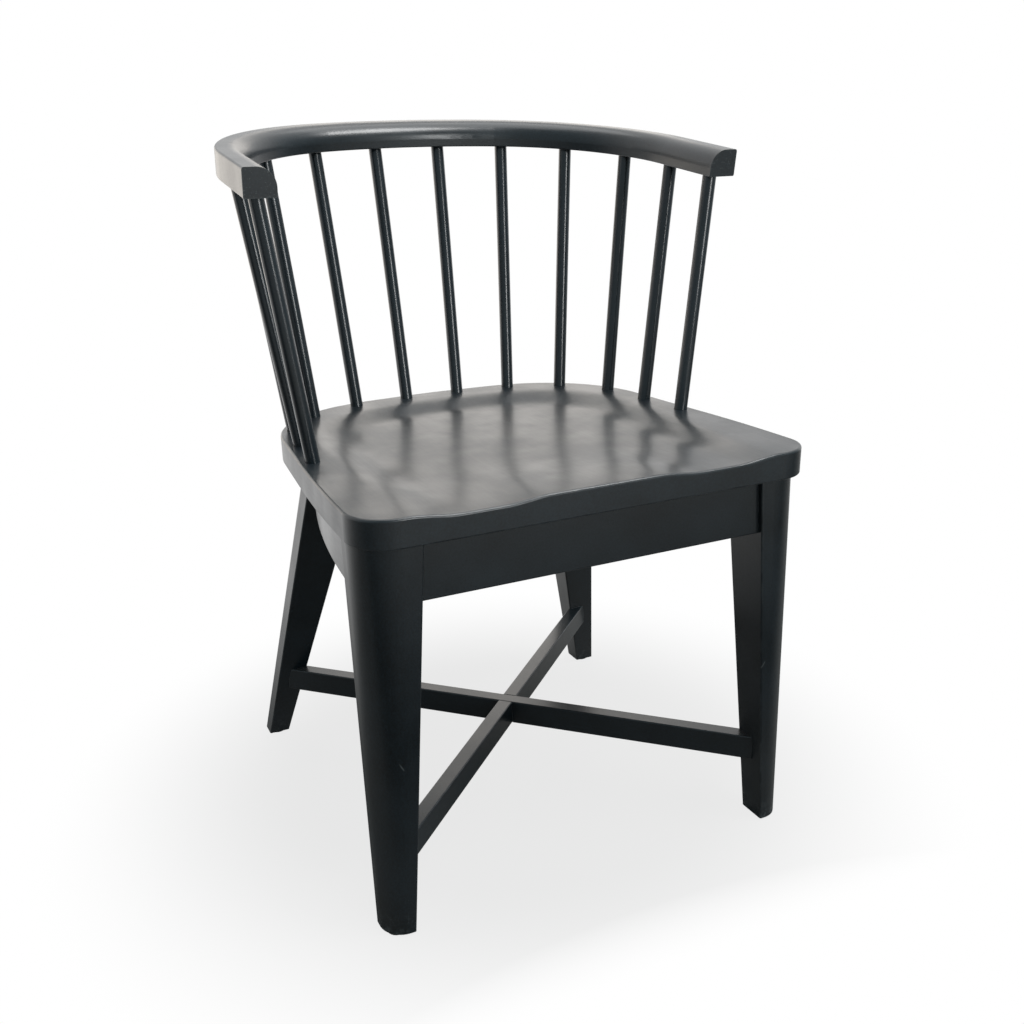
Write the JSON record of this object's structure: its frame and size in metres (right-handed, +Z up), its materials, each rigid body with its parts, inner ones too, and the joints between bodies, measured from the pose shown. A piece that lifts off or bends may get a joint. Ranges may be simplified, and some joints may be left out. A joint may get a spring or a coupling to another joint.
{
  "type": "barrel back side chair",
  "caption": "Armless black painted wooden side chair with a bent barrel rail on leaning round spindles, a dished seat, splayed rear legs and a crossed stretcher.",
  "frame": {"origin": "on the floor, under the middle of the chair's overall box", "axes": "+Z up, +Y to the back, so the front of the chair faces -Y, +X to the right as seen from the front"},
  "size_m": [0.5716, 0.5334, 0.8128],
  "materials": {
    "black_paint": "satin black paint on hardwood",
    "bare_wood": "bare sawn hardwood",
    "zinc_steel": "zinc plated",
    "nylon": "moulded, matt"
  },
  "bodies": {
    "root": {"seat": "black_paint", "top_rail": "black_paint", "spindle_01": "black_paint", "spindle_02": "black_paint", "spindle_03": "black_paint", "spindle_04": "black_paint", "spindle_05": "black_paint", "spindle_06": "black_paint", "spindle_07": "black_paint", "spindle_08": "black_paint", "spindle_09": "black_paint", "spindle_10": "black_paint", "spindle_11": "black_paint", "spindle_12": "black_paint", "front_leg_left": "black_paint", "rear_leg_left": "black_paint", "side_apron_left": "black_paint", "front_leg_right": "black_paint", "rear_leg_right": "black_paint", "side_apron_right": "black_paint", "front_apron": "black_paint", "rear_apron": "black_paint", "cross_stretcher_upper": "black_paint", "cross_stretcher_lower": "black_paint", "corner_block_front_left": "bare_wood", "glide_front_left": "nylon", "corner_block_front_right": "bare_wood", "glide_front_right": "nylon", "corner_block_rear_left": "bare_wood", "glide_rear_left": "nylon", "corner_block_rear_right": "bare_wood", "glide_rear_right": "nylon", "apron_dowels": "bare_wood", "stretcher_dowels": "bare_wood", "leg_screws": "zinc_steel", "seat_screws": "zinc_steel", "lap_screw": "zinc_steel", "glide_nails": "zinc_steel"}
  },
  "joints": []
}
